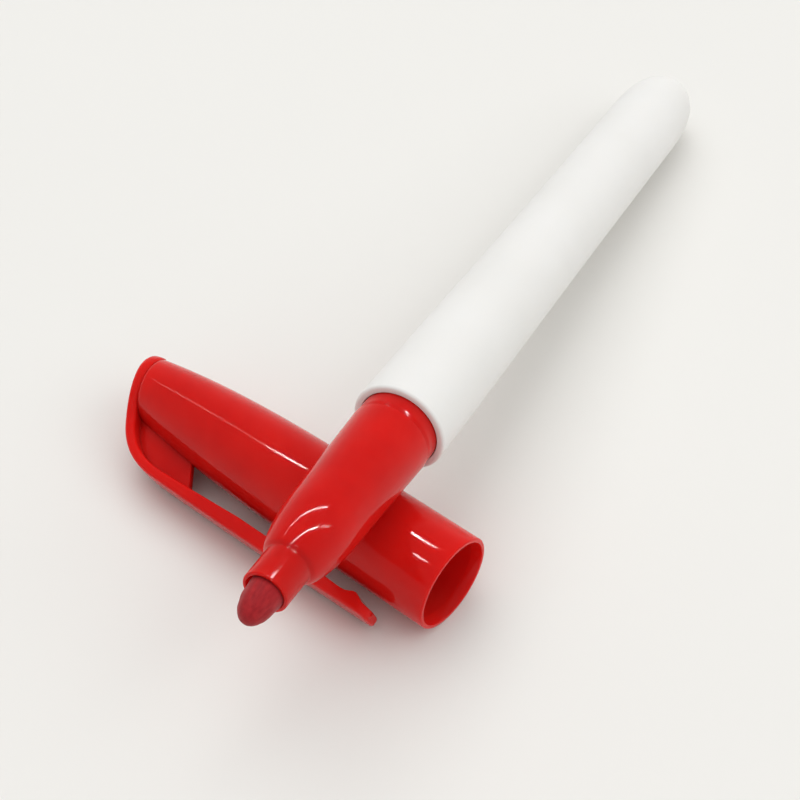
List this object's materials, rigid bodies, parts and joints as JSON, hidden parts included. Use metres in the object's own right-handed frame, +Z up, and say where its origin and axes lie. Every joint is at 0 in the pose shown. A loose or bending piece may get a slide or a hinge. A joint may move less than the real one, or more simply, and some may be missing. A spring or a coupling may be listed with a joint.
{
  "type": "whiteboard marker",
  "caption": "Slim bullet-tip whiteboard marker, uncapped and leaning across its own clip cap.",
  "frame": {"origin": "middle of the part's box in plan, on the surface it lies on", "axes": "+Z up; the cap lies along Y with its mouth towards -Y; the marker runs roughly along X, nib towards -X"},
  "size_m": [0.1216, 0.0518, 0.0232],
  "materials": {
    "red_plastic": "glossy moulded red polypropylene",
    "seal_plastic": "softer matt red polyethylene",
    "white_plastic": "satin white polypropylene",
    "felt": "bonded fibre nib soaked with red ink",
    "ink_fibre": "polyester fibre bundle soaked with red ink",
    "film": "thin clear film sleeve"
  },
  "bodies": {
    "cap": {"cap_shell": "red_plastic", "seal_cup": "seal_plastic"},
    "clip": {"clip": "red_plastic"},
    "marker": {"barrel": "white_plastic", "front_section": "red_plastic", "nib": "felt", "ink_core": "ink_fibre", "ink_wrap": "film"}
  },
  "joints": [
    {"name": "marker_lift", "type": "slide", "parent": "cap", "child": "marker", "axis": [0, 0, 1], "range_m": [0, 0.06]},
    {"name": "clip_flex", "type": "hinge", "parent": "cap", "child": "clip", "pos_m": [-0.04466, 0.01058, 0.00292], "axis": [0.342, 0.0037, -0.9397], "range_deg": [0, 3.5], "stiffness_Nm_per_rad": 0.23}
  ]
}
